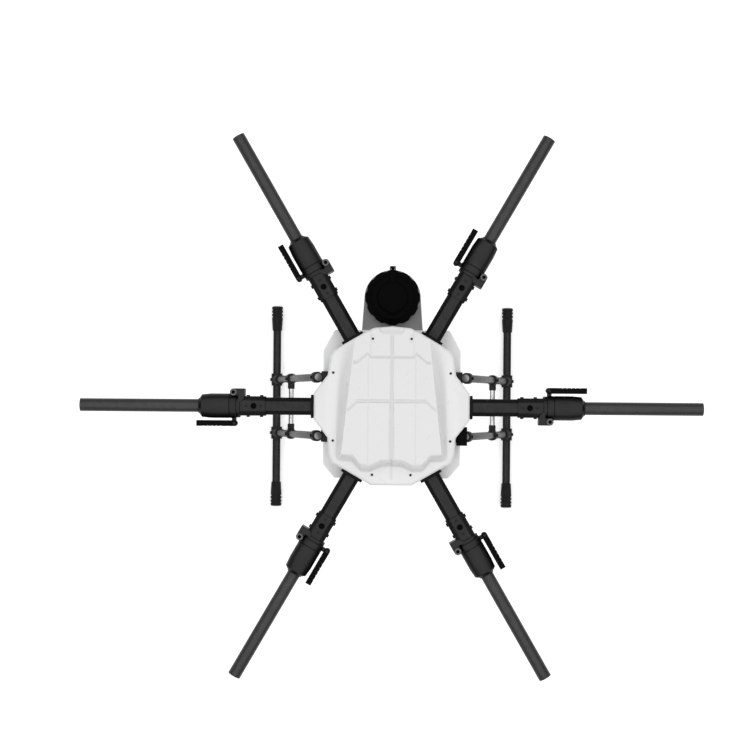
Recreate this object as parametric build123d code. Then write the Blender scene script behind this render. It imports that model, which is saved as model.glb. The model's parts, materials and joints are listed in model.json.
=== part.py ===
from build123d import *
import math
import os

# Six-armed folding sprayer airframe, in millimetres.
# +Z is up and +Y points to the filler cap at the rear. The origin is on the ground under the hub axis.
# An arm is drawn along +X about its own axis: X is the distance from the hub axis, +Y its left side.

# Arms
ARM_COUNT = 6
ARM_Z = 430.0            # height of the arm axes
ARM_REACH = 718.0        # hub axis to the end of an outer tube
JOINT_R = 357.0          # hub axis to the fold joint's face
FACE_GAP = 0.6           # between the two halves of a fold joint
TUBE_R = 15.0
TUBE_WALL = 2.0
TUBE_STEP = 0.5          # the tube's held end is this much smaller in radius
ROOT_WIDTH = 40.0        # bevelled square tube between hub and joint
ROOT_BEVEL = 9.5
ROOT_WALL = 2.0
ROOT_START = 62.0
WIRE_R = 11.0            # wire way through the joint

# Fixed half of the fold joint
SOCKET_WALL = 2.5
SOCKET_LENGTH = 67.0
SOCKET_SEAT = 55.0       # how far the root tube goes in
FLANGE_LENGTH = 8.0
FLANGE_MARGIN = 1.25     # flange radius below the sleeve's
GLAND_R = 6.7
GLAND_BACK = 40.0        # joint face to gland hole
PEEP_R = 2.3
PEEP_BACKS = (23.0, 57.0)
SIDE_SCREW_BACKS = (26.0, 57.0)

# Hinge of the fold joint
HINGE_AHEAD = 6.0        # hinge bolt axis past the joint face
BOLT_R = 4.0
RUNNING = 0.05           # radial clearance of a turning pin
KNUCKLE_R = 8.5
KNUCKLE_HALF = 11.7
EAR_GAP = 0.3
EAR_TOP = 24.0
EAR_BACK = 18.3
EAR_SLANT = 4.0          # where the ear block's slanted side starts, beside the arm's axis
HINGE_OUT = 3.25         # hinge axis outside the sleeve's side
BOLT_HEAD_R = 8.0
BOLT_HEAD_HEIGHT = 4.5
BOLT_HEX = 9.0

# Moving half of the fold joint
SLEEVE_R = 28.25
COLLAR_LENGTH = 14.9
COLLAR_GROOVE = (1.2, 1.0)  # width and depth, between collar and barrel
BARREL_LENGTH = 43.5
TAPER_LENGTH = 21.0
TAPER_DROP = 2.0
CONE_LENGTH = 6.0
LIP_LENGTH = 2.0
LIP_WALL = 2.6
TUBE_SEAT = 60.0         # length of outer tube held in the sleeve

# Latch lever
LATCH_AHEAD = 5.0        # latch pin past the joint face
LATCH_THICK = 13.4
LATCH_LENGTH = 94.0
LATCH_HALF_HEIGHT = 12.0
LATCH_SIDE_GAP = 5.2     # lever to sleeve
LATCH_BODY_START = 8.0   # lever's solid part past the pin
LATCH_PIN_R = 2.5
LUG_HALF = 5.0
LUG_R = 6.0

# Hub
HUB_APOTHEM = 178.4      # hub axis to the edge in front of each arm
HUB_SHAPE = (            # right half of the plan outline, as multiples of the apothem, rear to front
    (0.000, 1.034), (0.236, 1.009), (0.366, 0.9434), (0.6264, 0.7927), (0.748, 0.715),
    (0.790, 0.6486), (0.823, 0.405), (1.000, 0.177), (1.000, -0.166), (0.823, -0.394),
    (0.8065, -0.604), (0.765, -0.7206), (0.6375, -0.787), (0.3963, -0.9257), (0.2605, -1.006),
)
PLATE_T = 3.0
PLATE_HOLE_R = 36.0
PANEL_T = 3.0
COLLAR_WALL = 2.0
COLLAR_SIDE = 5.0        # collar beside the root tube
COLLAR_START = 118.0
COLLAR_FLANGE = 7.0
FLANGE_SIDE = 7.0        # collar flange beside the root tube
FLANGE_LIFT = 5.0        # collar flange above the root tube
COLLAR_SETBACK = 0.4     # flange to hub edge
HUB_BOLT_R = 1.5
HUB_BOLT_RADII = (128.0, 170.0)
HUB_BOLT_CLEAR = 1.0     # between a hub bolt and the root tube
BOLT_CAP_R = 2.75
BOLT_CAP_HEIGHT = 2.5
SPACER_R = 5.0
SPACER_RADIUS = 95.0

# Top cover
COVER_SKIRT = 15.0
COVER_WALL = 2.5
COVER_CROWN = 38.0       # raised panel above the shoulder
PANEL_HALF = (102.0, 0.11)  # half width over the hub axis, and how much it narrows per millimetre to the rear
PANEL_SLOPE_Y = 40.0     # the panel's top falls to the rear from here
PANEL_REAR_LIFT = 8.0    # panel above the shoulder at the hub's rear edge
FLANK_FOOT = 128.0       # half width of the foot of the hollow flanks
FLANK_STEPS = (0.0, 0.12, 0.4, 1.0)  # heights of the flank's facets, as parts of the panel's height
FRONT_WALL = (-123.0, -141.0)  # top and foot of the panel's front
COVER_RIM = 0.965        # top outline as a part of the plan outline
GROOVE = (7.0, 1.0)      # width and depth of the panel's grooves
GROOVE_YS = (13.0, 114.0)  # grooves across the panel
SEAT_R = 5.0             # flat round a cover screw on the panel's slope
SEAT_DEPTH = 4.5
COVER_SCREWS = ((44.0, 155.0), (134.0, 77.5), (134.0, -77.5), (44.0, -155.0))  # right side
POST_R = 4.0

# Inside the hub
BATTERY = (92.0, 150.0, 40.0)
BATTERY_Y = -10.0
AUTOPILOT = (60.0, 45.0, 16.0)
BOARD_R = 52.0
BOARD_T = 2.0

# Spray tank
TANK_HALF = 160.0
TANK_REAR = 179.0
TANK_FRONT = -166.0
TANK_DEPTH = 100.0
TANK_WALL = 3.0
TANK_GAP = 9.0           # lower plate to tank
TANK_CORNER = (26.0, 48.0)
TANK_FRONT_CORNER = (27.0, 32.0)
TANK_EDGE = (3.0, 10.0)   # chamfers of the top and bottom edges
SNOUT_HALF = 72.0
SNOUT_DROP = 22.5        # snout's top below the tank's
CAP_Y = 255.0
SNOUT_R = 66.0
NECK_R = 52.0
NECK_WALL = 6.0
NECK_HEIGHT = 14.0

# Tank rails
RAIL_X = 90.0
RAIL_NECK = 6.0
RAIL_FOOT = 18.0
RAIL_FOOT_T = 4.0
RAIL_DEPTH = 18.0
RAIL_HALF_LENGTH = 150.0
RAIL_CLEARANCE = 0.5

# Filler cap
CAP_R = 64.0
CAP_CLEARANCE = 0.4
CAP_TOP_T = 8.0
CAP_SKIRT = 10.0
SCALLOPS = 12
SCALLOP_R = 18.0
SCALLOP_DEPTH = 2.5
PORT_R = 30.0
RIDGE_R = 51.0
RIDGE_HALF = 1.5
SEAL_T = 2.3
SEAL_GAP = 0.2
LID_R = 34.0
LID_T = 4.5
LID_GAP = 0.3
LID_PLUG_R = 29.0
LID_PLUG = 3.8
STRAP_WIDTH = 16.0
STRAP_T = 3.2
HINGE_Y = 69.5           # cap axis to the lid's hinge
LID_KNUCKLE_R = 3.5
LID_KNUCKLE_HALF = 4.0
LID_EAR_T = 2.7
LID_PIN_R = 1.5

# Landing gear
SKID_X = 295.0
SKID_R = 10.0
SKID_WALL = 1.5
SKID_HALF = 255.5
GRIP_R = 14.3
GRIP_LENGTH = 62.0
GRIP_TAPER = 30.0
GRIP_GROOVES = (7.2, 16.0, 24.8)
GRIP_GROOVE = (3.0, 1.8)
LEG_R = 9.0
LEG_WALL = 1.5
LEG_CAP = 3.0
LEG_TUCK = 3.0           # how far a ring at the leg's top reaches over the tank's side
LEG_RISE = 3.0           # leg's top above the lower plate's top
LEG_Y = 68.0
FITTING_WALL = 4.0
TEE_LENGTH = 31.0
TEE_SOCKET = 34.0
TEE_SEAT = 13.0
BRACE_Z = 160.0
BRACE_R = 6.0
BRACE_WALL = 1.0
BRACE_LUG_WALL = 2.5
BRACE_LUG = 12.0
CLAMP_LENGTH = 16.0
BRACKET_LENGTH = 22.0
BRACKET_FOOT = (120.0, 28.0, 6.0)
BRACKET_WEB = (16.0, 20.0)
BRACKET_TANK_GAP = 2.0
BRACKET_BOLTS = ((128.0, 60.0), (128.0, 76.0))
GEAR_SCREW_R = 2.0
GEAR_HEAD_R = 4.0
GEAR_HEAD = 3.0

# Side connector
CONNECTOR = (24.0, 43.0, 27.0)
CONNECTOR_AT = (162.0, -66.5)
CONNECTOR_LIFT = 7.0     # above the lower plate's top

# Sizes that follow from the ones above
PLATE_GAP = ROOT_WIDTH + 2 * COLLAR_WALL
COLLAR_WIDTH = ROOT_WIDTH + 2 * COLLAR_SIDE
HUB_BOLT_SIDE = ROOT_WIDTH / 2 + HUB_BOLT_CLEAR + HUB_BOLT_R
LOWER_TOP = ARM_Z - PLATE_GAP / 2
LOWER_BOTTOM = LOWER_TOP - PLATE_T
UPPER_BOTTOM = ARM_Z + PLATE_GAP / 2
UPPER_TOP = UPPER_BOTTOM + PLATE_T
SHOULDER_Z = UPPER_TOP + COVER_SKIRT
TANK_TOP = LOWER_BOTTOM - TANK_GAP
TANK_BOTTOM = TANK_TOP - TANK_DEPTH
SNOUT_TOP = TANK_TOP - SNOUT_DROP
NECK_TOP = SNOUT_TOP + NECK_HEIGHT
CAP_UNDER = NECK_TOP + SEAL_GAP + SEAL_T
CAP_TOP = CAP_UNDER + CAP_TOP_T
SOCKET_WIDTH = ROOT_WIDTH + 2 * SOCKET_WALL
FLANGE_R = SLEEVE_R - FLANGE_MARGIN
HINGE_AT = (JOINT_R + HINGE_AHEAD, -SLEEVE_R - HINGE_OUT)
LATCH_AT = (JOINT_R + LATCH_AHEAD, SLEEVE_R + LATCH_SIDE_GAP + LATCH_THICK / 2)
COLLAR_START_X = JOINT_R + FACE_GAP
BARREL_START = COLLAR_START_X + COLLAR_LENGTH
TAPER_START = BARREL_START + BARREL_LENGTH
CONE_START = TAPER_START + TAPER_LENGTH
LIP_START = CONE_START + CONE_LENGTH
SLEEVE_END = LIP_START + LIP_LENGTH
TUBE_START = SLEEVE_END - TUBE_SEAT
SKID_Z = GRIP_R
LEG_ROOT_X = TANK_HALF - LEG_TUCK + LEG_R + FITTING_WALL
LEG_TOP_Z = LOWER_TOP + LEG_RISE
LEG_SLOPE = (SKID_X - LEG_ROOT_X) / (LEG_TOP_Z - SKID_Z)
LEG_DIRECTION = Vector(LEG_SLOPE, 0, -1).normalized()


# Shapes that repeat
def block(x0, x1, y0, y1, z0, z1):
    """A box between two corners."""
    centre = Pos((x0 + x1) / 2, (y0 + y1) / 2, (z0 + z1) / 2)
    return centre * Box(x1 - x0, y1 - y0, z1 - z0)


def rod(radius, start, end):
    """A round bar from one point to another."""
    start, end = Vector(*start), Vector(*end)
    along = end - start
    base = Plane(origin=start, z_dir=along)
    return base * Cylinder(radius, along.length, align=(Align.CENTER, Align.CENTER, Align.MIN))


def post(radius, x, y, low, high):
    return rod(radius, (x, y, low), (x, y, high))


def cone(low_radius, high_radius, start, end):
    """A round taper along X."""
    base = Plane(origin=(start, 0, 0), z_dir=(1, 0, 0))
    return base * Cone(low_radius, high_radius, end - start, align=(Align.CENTER, Align.CENTER, Align.MIN))


def prism(points, low, high):
    return Pos(0, 0, low) * extrude(Polygon(*points, align=None), high - low, dir=(0, 0, 1))


def bevelled_bar(width, bevel, start, end, height=None):
    """A bar along X whose section is a rectangle with bevelled corners."""
    half, tall = width / 2, (height or width) / 2
    corners = [(half, tall - bevel), (half - bevel, tall)]
    corners += [(-x, z) for x, z in reversed(corners)]
    corners += [(-x, -z) for x, z in corners]
    base = Plane(origin=(start, 0, 0), x_dir=(0, 1, 0), z_dir=(1, 0, 0))
    return extrude(base * Polygon(*corners, align=None), end - start, dir=(1, 0, 0))


def on_arm(number, shape):
    """Turns a shape drawn along +X to its arm's place."""
    return Pos(0, 0, ARM_Z) * Rot(0, 0, number * 360 / ARM_COUNT) * shape


def on_every_arm(shape):
    return [on_arm(number, shape) for number in range(ARM_COUNT)]


def arm_point(number, x, y):
    """Plan position of a point given in an arm's own frame."""
    turn = math.radians(number * 360 / ARM_COUNT)
    return x * math.cos(turn) - y * math.sin(turn), x * math.sin(turn) + y * math.cos(turn)


def four_corners(x, y):
    return [(x, y), (-x, y), (-x, -y), (x, -y)]


def save(name, shapes):
    """Writes one node; a list of shapes stays separate solids."""
    if isinstance(shapes, list):
        solids = [solid for shape in shapes for solid in shape.solids()]
        shapes = Compound(solids)
    export_step(shapes, f"parts/{name}.step")


# Arms
def root_tube():
    tube = bevelled_bar(ROOT_WIDTH, ROOT_BEVEL, ROOT_START, JOINT_R - SOCKET_LENGTH + SOCKET_SEAT)
    bore = bevelled_bar(ROOT_WIDTH - 2 * ROOT_WALL, ROOT_BEVEL - ROOT_WALL / 2, ROOT_START - 1, JOINT_R)
    return tube - bore - side_screw_shanks()


def side_screw_shanks():
    """Eight short shanks, two at each side near each end of the socket."""
    reach = SOCKET_WIDTH / 2
    shanks = []
    for back in SIDE_SCREW_BACKS:
        for side in (-1, 1):
            start = (JOINT_R - back, side * (ROOT_WIDTH / 2 - ROOT_WALL), 0)
            shanks.append(rod(GEAR_SCREW_R, start, (JOINT_R - back, side * reach, 0)))
    return shanks


def side_screws():
    """Screws with hexagon-socket heads standing on the socket's sides."""
    screws = []
    for shank, (back, side) in zip(
        side_screw_shanks(), [(b, s) for b in SIDE_SCREW_BACKS for s in (-1, 1)]
    ):
        seat = (JOINT_R - back, side * SOCKET_WIDTH / 2, 0)
        top = (JOINT_R - back, side * (SOCKET_WIDTH / 2 + GEAR_HEAD), 0)
        screws.append(shank + rod(GEAR_HEAD_R, seat, top) - hex_pocket(seat, top))
    return screws


def hex_pocket(seat, top):
    """The key socket in a screw head."""
    seat, top = Vector(*seat), Vector(*top)
    along = (seat - top).normalized()
    face = Plane(origin=top, z_dir=along)
    return extrude(face * RegularPolygon(GEAR_HEAD_R / 2, 6), (seat - top).length / 2)


def fold_socket():
    """Fixed half of the fold joint: socket, flange and the hinge's two outer ears."""
    start = JOINT_R - SOCKET_LENGTH
    hinge_x, hinge_y = HINGE_AT
    bevel = ROOT_BEVEL + SOCKET_WALL / 2
    body = bevelled_bar(SOCKET_WIDTH, bevel, start, JOINT_R - FLANGE_LENGTH)
    body += rod(FLANGE_R, (JOINT_R - FLANGE_LENGTH, 0, 0), (JOINT_R, 0, 0))
    outer = hinge_y - KNUCKLE_R
    web_end = hinge_x - KNUCKLE_R - EAR_GAP - 2
    web_start = JOINT_R - EAR_BACK
    web = [(web_start, outer), (web_end, outer), (web_end, -EAR_SLANT),
           (web_start, web_start - web_end - EAR_SLANT)]
    body += prism(web, -EAR_TOP, EAR_TOP)
    for low, high in ((KNUCKLE_HALF + EAR_GAP, EAR_TOP), (-EAR_TOP, -KNUCKLE_HALF - EAR_GAP)):
        body += block(web_end, JOINT_R, outer, hinge_y + KNUCKLE_R, low, high)
        body += block(JOINT_R, hinge_x, outer, hinge_y, low, high)
        body += post(KNUCKLE_R, hinge_x, hinge_y, low, high)
        body -= post(BOLT_R, hinge_x, hinge_y, low, high)
    body -= post(KNUCKLE_R + EAR_GAP, hinge_x, hinge_y, -KNUCKLE_HALF - EAR_GAP, KNUCKLE_HALF + EAR_GAP)
    body -= bevelled_bar(ROOT_WIDTH, ROOT_BEVEL, start, start + SOCKET_SEAT)
    body -= rod(WIRE_R, (start, 0, 0), (JOINT_R, 0, 0))
    top = SOCKET_WIDTH / 2
    body -= post(GLAND_R, JOINT_R - GLAND_BACK, 0, ROOT_WIDTH / 2, top)
    body -= [post(PEEP_R, JOINT_R - back, 0, ROOT_WIDTH / 2, top) for back in PEEP_BACKS]
    return body - side_screw_shanks()


def fold_bolt():
    """Hinge bolt with a washer head and a nut; it stays in the fixed ears."""
    x, y = HINGE_AT
    bolt = post(BOLT_R, x, y, -EAR_TOP, EAR_TOP)
    bolt += post(BOLT_HEAD_R, x, y, EAR_TOP, EAR_TOP + BOLT_HEAD_HEIGHT)
    bolt += post(KNUCKLE_R - 1, x, y, -EAR_TOP - BOLT_HEAD_HEIGHT, -EAR_TOP)
    pocket = Pos(x, y, EAR_TOP + 1) * extrude(RegularPolygon(BOLT_HEX / 2, 6), BOLT_HEAD_HEIGHT)
    return bolt - pocket


def fold_sleeve():
    """Moving half of the fold joint: collar, barrel, cone and lip round the outer tube."""
    hinge_x, hinge_y = HINGE_AT
    body = rod(SLEEVE_R, (COLLAR_START_X, 0, 0), (TAPER_START, 0, 0))
    body += cone(SLEEVE_R, SLEEVE_R - TAPER_DROP, TAPER_START, CONE_START)
    body += cone(SLEEVE_R - TAPER_DROP, TUBE_R + LIP_WALL, CONE_START, LIP_START)
    body += rod(TUBE_R + LIP_WALL, (LIP_START, 0, 0), (SLEEVE_END, 0, 0))
    groove_width, groove_depth = COLLAR_GROOVE
    groove = rod(SLEEVE_R, (BARREL_START, 0, 0), (BARREL_START + groove_width, 0, 0))
    body -= groove - rod(SLEEVE_R - groove_depth, (BARREL_START, 0, 0), (BARREL_START + groove_width, 0, 0))
    clear_low, clear_high = KNUCKLE_HALF, SLEEVE_R + 1
    for low, high in ((clear_low, clear_high), (-clear_high, -clear_low)):
        body -= post(KNUCKLE_R + EAR_GAP, hinge_x, hinge_y, low, high)
    body += block(COLLAR_START_X, BARREL_START, hinge_y, 1 - SLEEVE_R * 0.8, -KNUCKLE_HALF, KNUCKLE_HALF)
    body += post(KNUCKLE_R, hinge_x, hinge_y, -KNUCKLE_HALF, KNUCKLE_HALF)
    body -= post(BOLT_R + RUNNING, hinge_x, hinge_y, -KNUCKLE_HALF, KNUCKLE_HALF)
    latch_x, latch_y = LATCH_AT
    body += block(latch_x - LUG_R + 2, latch_x + LUG_R, SLEEVE_R * 0.8, latch_y, -LUG_HALF, LUG_HALF)
    body += post(LUG_R, latch_x, latch_y, -LUG_HALF, LUG_HALF)
    body -= post(LATCH_PIN_R, latch_x, latch_y, -LUG_HALF, LUG_HALF)
    body -= rod(TUBE_R - TUBE_STEP, (TUBE_START, 0, 0), (SLEEVE_END, 0, 0))
    return body - rod(WIRE_R, (JOINT_R, 0, 0), (TUBE_START, 0, 0))


def outer_tube():
    """Round carbon tube that takes the motor mount; its held end is turned down to seat in the sleeve."""
    tube = rod(TUBE_R, (SLEEVE_END, 0, 0), (ARM_REACH, 0, 0))
    tube += rod(TUBE_R - TUBE_STEP, (TUBE_START, 0, 0), (SLEEVE_END, 0, 0))
    return tube - rod(TUBE_R - TUBE_WALL, (TUBE_START, 0, 0), (ARM_REACH, 0, 0))


def latch_lever():
    """Over-centre lever: a fork round the sleeve's lug and a long grip with cross grooves."""
    x, y = LATCH_AT
    half = LATCH_THICK / 2
    end = x - half + LATCH_LENGTH
    body = block(x + LATCH_BODY_START, end, y - half, y + half, -LATCH_HALF_HEIGHT, LATCH_HALF_HEIGHT)
    fork_low = LUG_HALF + EAR_GAP
    for low, high in ((fork_low, LATCH_HALF_HEIGHT), (-LATCH_HALF_HEIGHT, -fork_low)):
        body += block(x, x + LATCH_BODY_START, y - half, y + half, low, high)
        body += post(half, x, y, low, high)
        body -= post(LATCH_PIN_R + RUNNING, x, y, low, high)
    grooves = [x + 30 + 10 * step for step in range(5)]
    for start in grooves:
        body -= block(start, start + 3, y + half - 2, y + half, -LATCH_HALF_HEIGHT, LATCH_HALF_HEIGHT)
    return body


def latch_pin():
    x, y = LATCH_AT
    pin = post(LATCH_PIN_R, x, y, -LATCH_HALF_HEIGHT - 0.5, LATCH_HALF_HEIGHT + 0.5)
    for low in (-LATCH_HALF_HEIGHT - 2, LATCH_HALF_HEIGHT + 0.5):
        pin += post(LATCH_PIN_R + 1.5, x, y, low, low + 1.5)
    return pin


# Hub
def hub_points(scale):
    right = [(scale * HUB_APOTHEM * x, scale * HUB_APOTHEM * y) for x, y in HUB_SHAPE]
    left = [(-x, y) for x, y in reversed(right) if x > 0]
    return right + left


def hub_prism(scale, low, high):
    return prism(hub_points(scale), low, high)


def hub_bolt_places():
    places = []
    for number in range(ARM_COUNT):
        for radius in HUB_BOLT_RADII:
            places += [arm_point(number, radius, side * HUB_BOLT_SIDE) for side in (-1, 1)]
    return places


def panel_top(y):
    """Height of the raised panel's top at a distance along the hub."""
    rear = HUB_APOTHEM * HUB_SHAPE[0][1]
    fall = (COVER_CROWN - PANEL_REAR_LIFT) / (rear - PANEL_SLOPE_Y)
    return SHOULDER_Z + COVER_CROWN - fall * max(0, y - PANEL_SLOPE_Y)


def panel_half(y):
    middle, narrowing = PANEL_HALF
    return middle - narrowing * y


def cover_screw_places():
    """Place, seat height and underside of each screw; one inside the panel's edge sits on the panel."""
    places = []
    for x, y in COVER_SCREWS:
        on_panel = x < panel_half(y) and y > FRONT_WALL[0]
        seat = panel_top(y) if on_panel else SHOULDER_Z
        under = seat - (SEAT_DEPTH if on_panel else COVER_WALL)
        places += [(x, y, seat, under), (-x, y, seat, under)]
    return places


def bracket_bolt_places():
    return [corner for x, y in BRACKET_BOLTS for corner in four_corners(x, y)]


def hub_plate(low, holes):
    """A carbon plate with its outline, a centre hole and bolt holes."""
    plate = hub_prism(1, low, low + PLATE_T)
    plate -= [post(radius, x, y, low, low + PLATE_T) for radius, x, y in holes]
    return plate


def upper_plate():
    holes = [(HUB_BOLT_R, x, y) for x, y in hub_bolt_places()]
    return hub_plate(UPPER_BOTTOM, holes + [(PLATE_HOLE_R, 0, 0)])


def lower_plate():
    holes = [(HUB_BOLT_R, x, y) for x, y in hub_bolt_places()]
    holes += [(GEAR_SCREW_R, x, y) for x, y in bracket_bolt_places()]
    return hub_plate(LOWER_BOTTOM, holes)


def side_panels():
    """Six black walls that close the hub between the collars."""
    scale = 1 - PANEL_T / HUB_APOTHEM
    wall = hub_prism(1, LOWER_TOP, UPPER_BOTTOM) - hub_prism(scale, LOWER_TOP, UPPER_BOTTOM)
    half = COLLAR_WIDTH / 2
    window = block(COLLAR_START, HUB_APOTHEM + 20, -half, half, -PLATE_GAP, PLATE_GAP)
    return [wall - on_every_arm(window)]


def arm_collar():
    """Block that carries an arm's root between the plates, with a flange outside the hub."""
    half, tall = COLLAR_WIDTH / 2, PLATE_GAP / 2
    flange_start = HUB_APOTHEM + COLLAR_SETBACK
    body = block(COLLAR_START, flange_start, -half, half, -tall, tall)
    body += bevelled_bar(ROOT_WIDTH + 2 * FLANGE_SIDE, ROOT_BEVEL, flange_start, flange_start + COLLAR_FLANGE,
                         ROOT_WIDTH + 2 * FLANGE_LIFT)
    body -= bevelled_bar(ROOT_WIDTH, ROOT_BEVEL, ROOT_START, JOINT_R)
    for radius in HUB_BOLT_RADII:
        body -= [post(HUB_BOLT_R, radius, side * HUB_BOLT_SIDE, -tall, tall) for side in (-1, 1)]
    return body


def collar_bolts():
    """Through bolts with round heads above and nuts below."""
    low, high = LOWER_BOTTOM, UPPER_TOP
    bolts = []
    for x, y in hub_bolt_places():
        bolt = post(HUB_BOLT_R, x, y, low, high) + post(BOLT_CAP_R, x, y, high, high + BOLT_CAP_HEIGHT)
        bolts.append(bolt + post(BOLT_CAP_R, x, y, low - BOLT_CAP_HEIGHT, low))
    return bolts


def hub_posts():
    """Spacers between the plates, and the posts that take the cover's screws."""
    posts = []
    for number in range(ARM_COUNT):
        x, y = arm_point(number + 0.5, SPACER_RADIUS, 0)
        posts.append(post(SPACER_R, x, y, LOWER_TOP, UPPER_BOTTOM))
    for x, y, _, top in cover_screw_places():
        hole = post(HUB_BOLT_R, x, y, UPPER_TOP + 4, top)
        posts.append(post(POST_R, x, y, UPPER_TOP, top) - hole)
    return posts


def panel_section(y, inset):
    """The raised panel's cross-section at y, from its flat top down the hollow flanks."""
    top, low = panel_top(y) - inset - SHOULDER_Z, -COVER_SKIRT
    edge = panel_half(y) - inset
    foot = FLANK_FOOT - inset
    right = [(edge + (foot - edge) * (1 - math.sqrt(step)), top * step) for step in FLANK_STEPS]
    corners = [(foot, low)] + right
    corners += [(-x, z) for x, z in reversed(corners)]
    place = Plane(origin=(0, y, SHOULDER_Z), x_dir=(1, 0, 0), z_dir=(0, -1, 0))
    return place * Polygon(*corners, align=None)


def panel_block(inset):
    """The cover's raised panel: wider at the front, level there, falling to the rear."""
    rear = HUB_APOTHEM * HUB_SHAPE[0][1] + 1
    wall_top, wall_foot = FRONT_WALL
    ys = (rear, PANEL_SLOPE_Y, wall_foot)
    body = loft([panel_section(y, inset) for y in ys], ruled=True)
    slant = [(wall_top + inset, SHOULDER_Z + COVER_CROWN + 1), (wall_foot + inset, SHOULDER_Z - 1),
             (wall_foot - 1, SHOULDER_Z - 1), (wall_foot - 1, SHOULDER_Z + COVER_CROWN + 1)]
    side = Plane(origin=(-FLANK_FOOT - 1, 0, 0), x_dir=(0, 1, 0), z_dir=(1, 0, 0))
    return body - extrude(side * Polygon(*slant, align=None), 2 * FLANK_FOOT + 2, dir=(1, 0, 0))


def panel_grooves():
    """A groove along the panel and two across it, following the panel's top."""
    width, depth = GROOVE
    half = width / 2
    low = SHOULDER_Z + COVER_CROWN - depth
    cross_reach = PANEL_HALF[0]
    rear = COVER_SCREWS[0][1]
    middle, behind = GROOVE_YS
    fall = math.degrees(math.atan2(panel_top(PANEL_SLOPE_Y) - panel_top(rear), rear - PANEL_SLOPE_Y))
    tilt = Pos(0, PANEL_SLOPE_Y, low) * Rot(-fall, 0, 0)
    cuts = [block(-half, half, FRONT_WALL[0], PANEL_SLOPE_Y, low, low + width)]
    cuts.append(block(-cross_reach, cross_reach, middle - half, middle + half, low, low + width))
    cuts.append(tilt * block(-half, half, -width, rear - PANEL_SLOPE_Y, 0, width))
    reach = panel_half(behind) - width
    start = behind - PANEL_SLOPE_Y
    cuts.append(tilt * block(-reach, reach, start - half, start + half, 0, width))
    return cuts


def top_cover():
    """Moulded shell: skirt, shoulder with screw seats, and a raised panel with hollow flanks and grooves."""
    under = SHOULDER_Z - COVER_WALL
    thinner = COVER_WALL / (HUB_APOTHEM * HUB_SHAPE[6][0])
    high = SHOULDER_Z + COVER_CROWN
    shell = hub_prism(1, UPPER_TOP, SHOULDER_Z)
    shell += panel_block(0) & hub_prism(COVER_RIM, UPPER_TOP, high)
    shell -= hub_prism(1 - thinner, UPPER_TOP, under)
    shell -= panel_block(COVER_WALL) & hub_prism(COVER_RIM - thinner, UPPER_TOP, high)
    shell -= panel_grooves()
    for x, y, seat, low in cover_screw_places():
        if seat > SHOULDER_Z:
            shell += post(SEAT_R, x, y, low, seat)
            shell -= post(SEAT_R, x, y, seat, seat + SEAT_R)
        shell -= post(HUB_BOLT_R, x, y, low, seat)
    return shell


def cover_screws():
    screws = []
    for x, y, seat, _ in cover_screw_places():
        screw = post(HUB_BOLT_R, x, y, UPPER_TOP + 4, seat)
        screws.append(screw + post(BOLT_CAP_R, x, y, seat, seat + 2))
    return screws


def battery():
    width, length, height = BATTERY
    pack = Pos(0, BATTERY_Y, UPPER_TOP + height / 2) * Box(width, length, height)
    return fillet(pack.edges().filter_by(Axis.Z), 6)


def autopilot():
    width, length, height = AUTOPILOT
    case = Pos(0, 0, LOWER_TOP + BOARD_T + height / 2) * Box(width, length, height)
    return fillet(case.edges().filter_by(Axis.Z), 5)


def power_board():
    return post(BOARD_R, 0, 0, LOWER_TOP, LOWER_TOP + BOARD_T)


# Spray tank
def tank_points(wall):
    """Plan outline of the main tank, moved in by the wall."""
    half, rear, front = TANK_HALF - wall, TANK_REAR - wall, TANK_FRONT + wall
    rear_x, rear_y = TANK_CORNER
    front_x, front_y = TANK_FRONT_CORNER
    right = [(half - rear_x, rear), (half, rear - rear_y), (half, front + front_y), (half - front_x, front)]
    return right + [(-x, y) for x, y in reversed(right)]


def snout_body(wall, low, high):
    """The tank's rear end under the filler cap."""
    start = TANK_REAR - 10
    half, end = SNOUT_HALF - wall, SNOUT_R - wall
    sides = [(half, start), (end, CAP_Y), (-end, CAP_Y), (-half, start)]
    return prism(sides, low, high) + post(end, 0, CAP_Y, low, high)


def rail_profile(side, gap, start, end):
    """A rail hanging from the lower plate, or the slot round it when the gap is given."""
    x = side * RAIL_X
    foot_low = LOWER_BOTTOM - RAIL_DEPTH
    foot_top = foot_low + RAIL_FOOT_T
    neck = RAIL_NECK / 2 + gap
    foot = RAIL_FOOT / 2 + gap
    rail = block(x - neck, x + neck, start, end, foot_low, LOWER_BOTTOM)
    return rail + block(x - foot, x + foot, start, end, foot_low - gap, foot_top + gap)


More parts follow.
